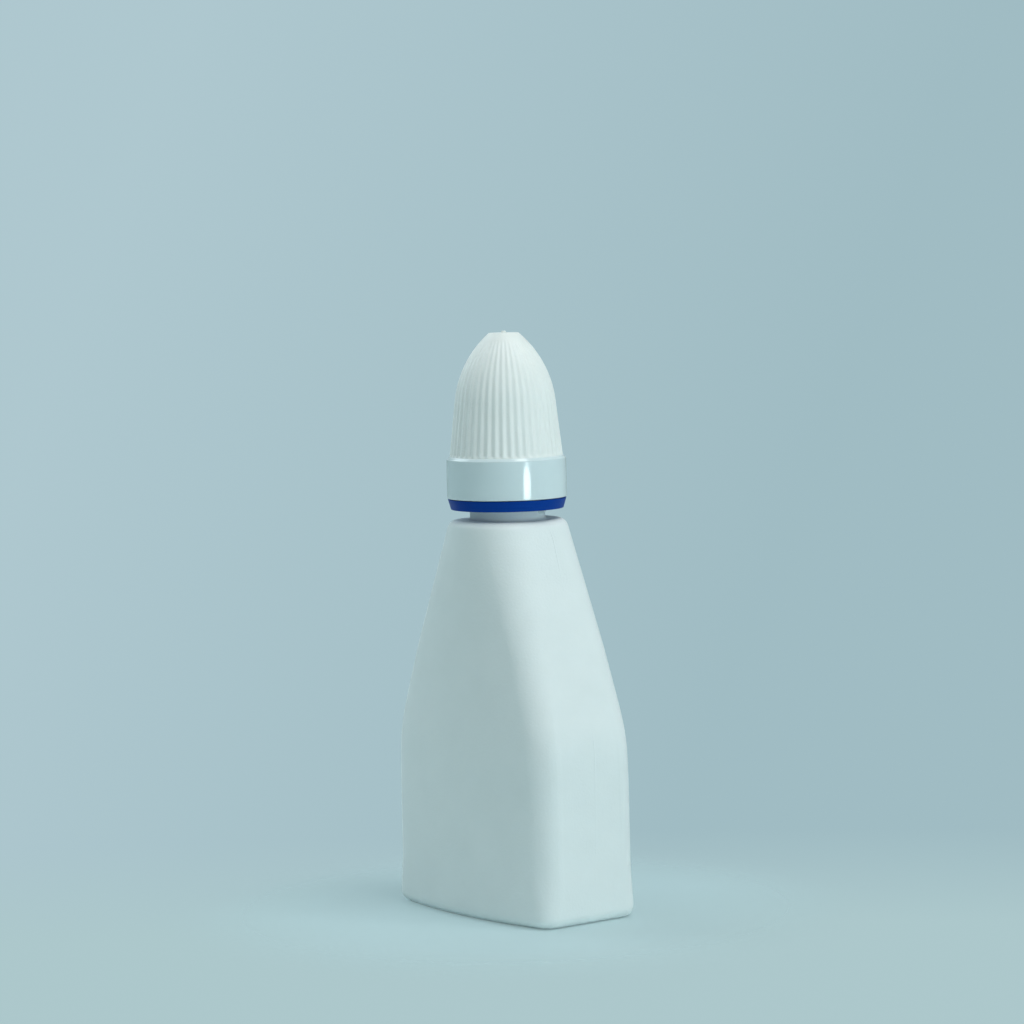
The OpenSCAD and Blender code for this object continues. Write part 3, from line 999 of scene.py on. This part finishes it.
def make_world():
    """Even light from all round, and a pale blue-grey backdrop that only the camera and reflections see. The
    backdrop is painted lighter to the left and darker to the right, as a painted falloff of light across it.
    """
    world = bpy.data.worlds.new("studio")
    bpy.context.scene.world = world
    world.use_nodes = True
    tree = world.node_tree
    tree.nodes.clear()
    path = node(tree, "LightPath")
    seen = path.outputs["Is Camera Ray"]
    for kind in ("Is Glossy Ray", "Is Transmission Ray"):
        seen = node(tree, "Math", {"operation": "MAXIMUM"}, in0=seen, in1=path.outputs[kind]).outputs[0]
    towards = node(tree, "TexCoord").outputs["Generated"]
    turn = math.radians(CAMERA_AZIMUTH)
    rightward = (math.cos(turn), math.sin(turn), BACKDROP_TILT)
    across = node(tree, "VectorMath", {"operation": "DOT_PRODUCT"}, in0=towards, in1=rightward)
    shade = ramp(tree, across.outputs["Value"], -BACKDROP_TURN, BACKDROP_TURN)
    fill = node(tree, "Background", Color=(*WORLD_COLOR, 1), Strength=WORLD_STRENGTH)
    # Painted light: the backdrop is lighter on the left and darker on the right
    wall = mixed(tree, shade, BACKDROP_LEFT, BACKDROP_RIGHT)
    down = ramp(tree, node(tree, "SeparateXYZ", Vector=towards).outputs["Z"], *HORIZON)
    shown = node(tree, "Background", Color=mixed(tree, down, wall, BACKDROP_FLOOR), Strength=1.0)
    mix = node(tree, "MixShader", in0=seen, in1=fill.outputs[0], in2=shown.outputs[0])
    node(tree, "OutputWorld", Surface=mix.outputs[0])


def make_floor():
    """A pale floor that the camera sees near the bottle only, where it takes the shadow."""
    bpy.ops.mesh.primitive_plane_add(size=FLOOR_M, location=(0, 0, 0))
    floor = bpy.context.object
    floor.name = "floor"
    material, tree, shader, place = new_material("floor")
    cloud = ramp(tree, noise(tree, place, FLOOR_CLOUD_SCALE, 2.0), *CLOUD_RANGE)
    paler = tuple(FLOOR_PALER * c for c in FLOOR)
    path = node(tree, "LightPath")
    color = mixed(tree, path.outputs["Is Camera Ray"], FLOOR_BOUNCE, mixed(tree, cloud, FLOOR, paler))
    tree.links.new(color, shader.inputs["Base Color"])
    shader.inputs["Roughness"].default_value = FLOOR_ROUGH
    shader.inputs["Specular IOR Level"].default_value = FLOOR_GLOSS
    away = node(tree, "VectorMath", {"operation": "LENGTH"}, in0=place).outputs["Value"]
    far = node(tree, "MapRange", {"interpolation_type": "SMOOTHSTEP"}, Value=away,
               From_Min=FLOOR_NEAR * MM, From_Max=FLOOR_FAR * MM, To_Min=SHADOW_FADE).outputs["Result"]
    seen = node(tree, "Math", {"operation": "MULTIPLY"}, in0=path.outputs["Is Camera Ray"], in1=far)
    clear = node(tree, "BsdfTransparent")
    mix = node(tree, "MixShader", in0=seen.outputs[0], in1=shader.outputs[0], in2=clear.outputs[0])
    output = next(n for n in tree.nodes if n.bl_idname == "ShaderNodeOutputMaterial")
    tree.links.new(mix.outputs[0], output.inputs["Surface"])
    floor.data.materials.append(material)


make_camera()
make_world()
make_floor()
softbox("key", 102, 65, width=350, height=350, power=2.36, color=(1.0, 1.0, 1.0))
softbox("strip", 91, -2.8, width=172, height=104, power=0.76, color=(0.85, 1.0, 1.02), shape="ELLIPSE")
softbox("low", 105, 17, width=350, height=250, power=0.5, color=(0.9, 1.0, 1.04))
softbox("left", -70, 35, width=500, height=350, power=1.45, color=(0.86, 1.0, 1.06))
bpy.context.scene.view_settings.view_transform = "Standard"
